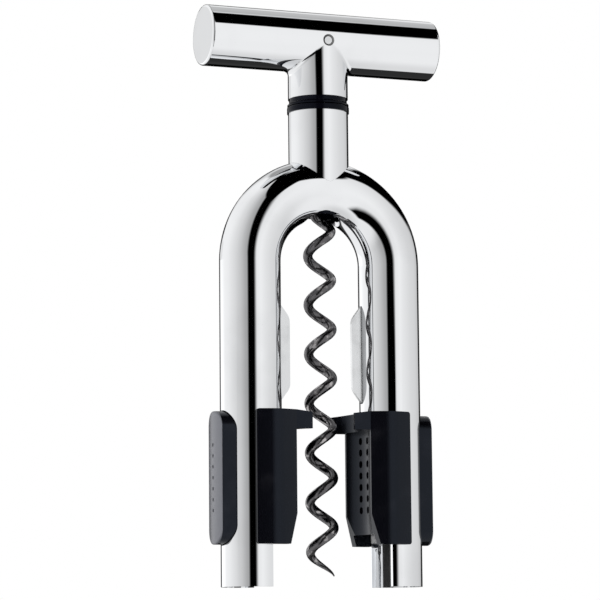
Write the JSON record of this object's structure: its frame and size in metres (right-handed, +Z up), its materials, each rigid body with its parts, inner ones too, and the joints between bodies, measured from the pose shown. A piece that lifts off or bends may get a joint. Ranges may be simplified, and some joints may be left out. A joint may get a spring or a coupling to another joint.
{
  "type": "corkscrew",
  "caption": "Self-pulling corkscrew: bent-tube frame that stands on a bottle, sprung jaws that grip its lip, and a T handle that turns a long open worm to draw the cork.",
  "frame": {"origin": "on the worm's axis, level with the feet of the two legs", "axes": "+Z up along the worm's axis to the handle, X from leg to leg and along the handle bar, -Y to the front"},
  "size_m": [0.0724, 0.0232, 0.17],
  "materials": {
    "chrome": "mirror polished",
    "steel": "bright rolled",
    "black_plastic": "fine moulded texture",
    "bearing_plastic": "smooth moulded",
    "coated_worm": "dark non-stick coating, satin"
  },
  "bodies": {
    "frame": {"frame_arch": "chrome", "neck_sleeve": "chrome", "upper_neck_bush": "bearing_plastic", "lower_neck_bush": "bearing_plastic", "left_cork_fin": "steel", "right_cork_fin": "steel", "left_spring_carrier": "black_plastic", "right_spring_carrier": "black_plastic", "left_carrier_pin": "steel", "right_carrier_pin": "steel", "left_jaw_springs": "steel", "right_jaw_springs": "steel"},
    "handle": {"handle_tee": "chrome", "left_bar_cap": "chrome", "right_bar_cap": "chrome", "handle_pin": "chrome", "handle_washer": "bearing_plastic", "spindle": "steel", "thrust_washer": "steel", "retaining_ring": "steel", "worm": "coated_worm"},
    "left_jaw": {"left_jaw": "black_plastic", "left_pad": "black_plastic"},
    "right_jaw": {"right_jaw": "black_plastic", "right_pad": "black_plastic"}
  },
  "joints": [
    {"name": "handle_turn", "type": "hinge", "parent": "frame", "child": "handle", "pos_m": [0, 0, 0.13], "axis": [0, 0, 1], "continuous": true},
    {"name": "left_jaw_slide", "type": "slide", "parent": "frame", "child": "left_jaw", "axis": [1, 0, 0], "range_m": [0, 0.0015], "stiffness_N_per_m": 2500, "deforming": ["left_jaw_springs"]},
    {"name": "right_jaw_slide", "type": "slide", "parent": "frame", "child": "right_jaw", "axis": [-1, 0, 0], "range_m": [0, 0.0015], "stiffness_N_per_m": 2500, "deforming": ["right_jaw_springs"]}
  ]
}
